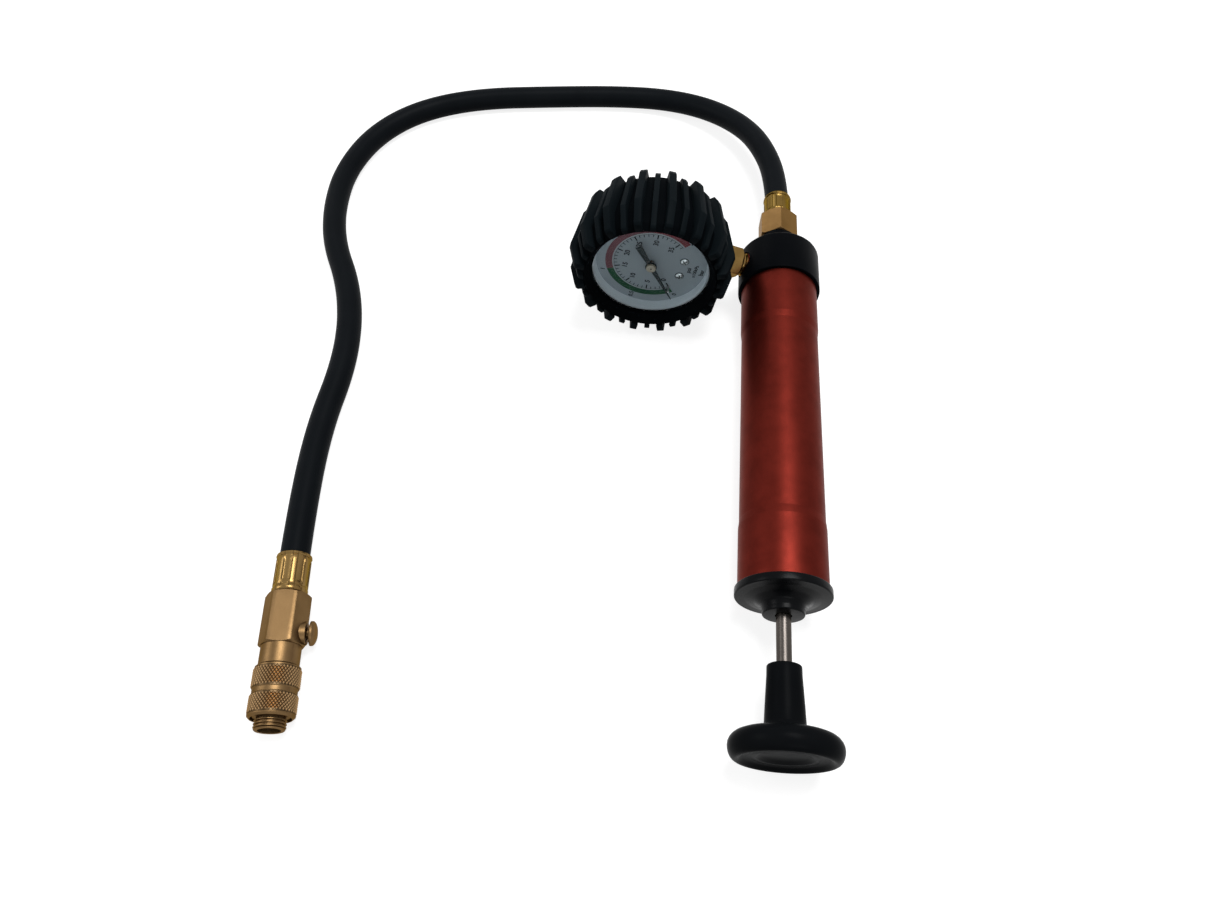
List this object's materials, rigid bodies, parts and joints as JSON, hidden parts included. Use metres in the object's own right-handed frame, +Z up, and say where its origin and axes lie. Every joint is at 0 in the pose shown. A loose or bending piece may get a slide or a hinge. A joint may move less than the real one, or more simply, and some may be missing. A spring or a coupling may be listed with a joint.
{
  "type": "cooling system pressure tester",
  "caption": "Hand pump with a dial gauge in a ribbed boot and a hose with a quick coupler, for putting a cooling system under test pressure.",
  "frame": {"origin": "on the surface it lies on, under the middle of the bounding box of the pump and gauge without the hose and coupler", "axes": "+Y along the pump towards its hose end in plan (the pump's axis falls a third of a degree that way), +Z up, the gauge lies towards -X"},
  "size_m": [0.2828, 0.417, 0.0819],
  "materials": {
    "red_anodised": "satin red anodised tube",
    "black_plastic": "moulded, fine grain",
    "steel": "drawn bright",
    "brass": "turned, lightly tarnished",
    "yellow_brass": "crimped, bright",
    "coupler_brass": "turned and knurled",
    "black_rubber": "matt",
    "hose_rubber": "smooth, slightly glossy",
    "red_fibre": "pressed fibre washer",
    "dial_paint": "printed dial, matt",
    "needle_paint": "black enamel",
    "white_plastic": "moulded ring",
    "clear_lens": "clear moulded window",
    "case_steel": "black enamelled case",
    "leather_cup": "oiled cup"
  },
  "bodies": {
    "pump": {"barrel_tube": "red_anodised", "bottom_cap": "black_plastic", "bourdon_tip": "brass", "bourdon_tube": "brass", "bump_stop": "black_rubber", "cap_gasket": "black_rubber", "coupler_body": "coupler_brass", "coupler_ferrule": "yellow_brass", "coupler_nipple": "coupler_brass", "coupler_seal": "black_rubber", "dial_plate": "dial_paint", "dial_posts": "brass", "dial_screws": "steel", "gauge_boot": "black_rubber", "gauge_case": "case_steel", "gauge_lens": "clear_lens", "gauge_socket": "brass", "hairspring": "steel", "hose": "hose_rubber", "hose_adapter": "brass", "locking_balls": "steel", "movement_back_plate": "brass", "movement_front_plate": "brass", "movement_pillars": "brass", "port_washer": "red_fibre", "pump_ferrule": "yellow_brass", "relief_seal": "black_rubber", "relief_spring": "steel", "rod_bush": "brass", "rod_seal": "black_rubber", "sleeve_spring": "steel", "snap_ring": "steel", "spacer_ring": "white_plastic", "stop_pin": "steel", "top_cap": "black_plastic", "valve_plate": "brass", "valve_spring": "steel"},
    "piston": {"piston_head": "black_plastic", "piston_cup": "leather_cup"},
    "rod": {"pump_rod": "steel", "piston_washer": "steel", "piston_nut": "steel", "handle": "black_plastic"},
    "check_valve": {"valve_disc": "black_rubber"},
    "sector": {"sector_gear": "brass"},
    "needle": {"pinion": "brass", "needle": "needle_paint", "needle_hub": "brass"},
    "link": {"link": "brass"},
    "sleeve": {"coupler_sleeve": "coupler_brass"},
    "button": {"relief_button": "coupler_brass"}
  },
  "joints": [
    {"name": "pump_stroke", "type": "slide", "parent": "pump", "child": "piston", "axis": [0, 1, -0.0052], "range_m": [-0.118, 0.0203]},
    {"name": "rod_spin", "type": "hinge", "parent": "piston", "child": "rod", "pos_m": [0.04302, -0.0182, 0.02133], "axis": [0, 1, -0.0052], "continuous": true},
    {"name": "valve_lift", "type": "slide", "parent": "pump", "child": "check_valve", "axis": [0, 1, -0.0052], "range_m": [0, 0.0024], "stiffness_N_per_m": 60, "springref_m": -0.004, "deforming": ["valve_spring"]},
    {"name": "sector_swing", "type": "hinge", "parent": "pump", "child": "sector", "pos_m": [-0.042, 0.08613, 0.04645], "axis": [0, -1, 0.0052], "range_deg": [0, 38.9], "stiffness_Nm_per_rad": 0.003, "springref_deg": -2.86},
    {"name": "needle_turn", "type": "hinge", "parent": "pump", "child": "needle", "pos_m": [-0.02362, 0.0861, 0.0409], "axis": [0, -1, 0.0052], "range_deg": [-272.4, 0]},
    {"name": "link_swing", "type": "hinge", "parent": "sector", "child": "link", "pos_m": [-0.04508, 0.08615, 0.04973], "axis": [0, -1, 0.0052], "range_deg": [-39, 0]},
    {"name": "sleeve_slide", "type": "slide", "parent": "pump", "child": "sleeve", "axis": [-0.1495, 0.9888, 0], "range_m": [0, 0.0035], "stiffness_N_per_m": 900, "springref_m": -0.006, "deforming": ["sleeve_spring"]},
    {"name": "button_press", "type": "slide", "parent": "pump", "child": "button", "axis": [-0.9791, -0.1481, 0.1392], "range_m": [0, 0.0012], "stiffness_N_per_m": 1200, "springref_m": -0.003, "deforming": ["relief_spring"]}
  ],
  "couplings": [
    {"joint": "needle_turn", "follows": "sector_swing", "ratio": -7},
    {"joint": "link_swing", "follows": "sector_swing", "ratio": -1}
  ]
}
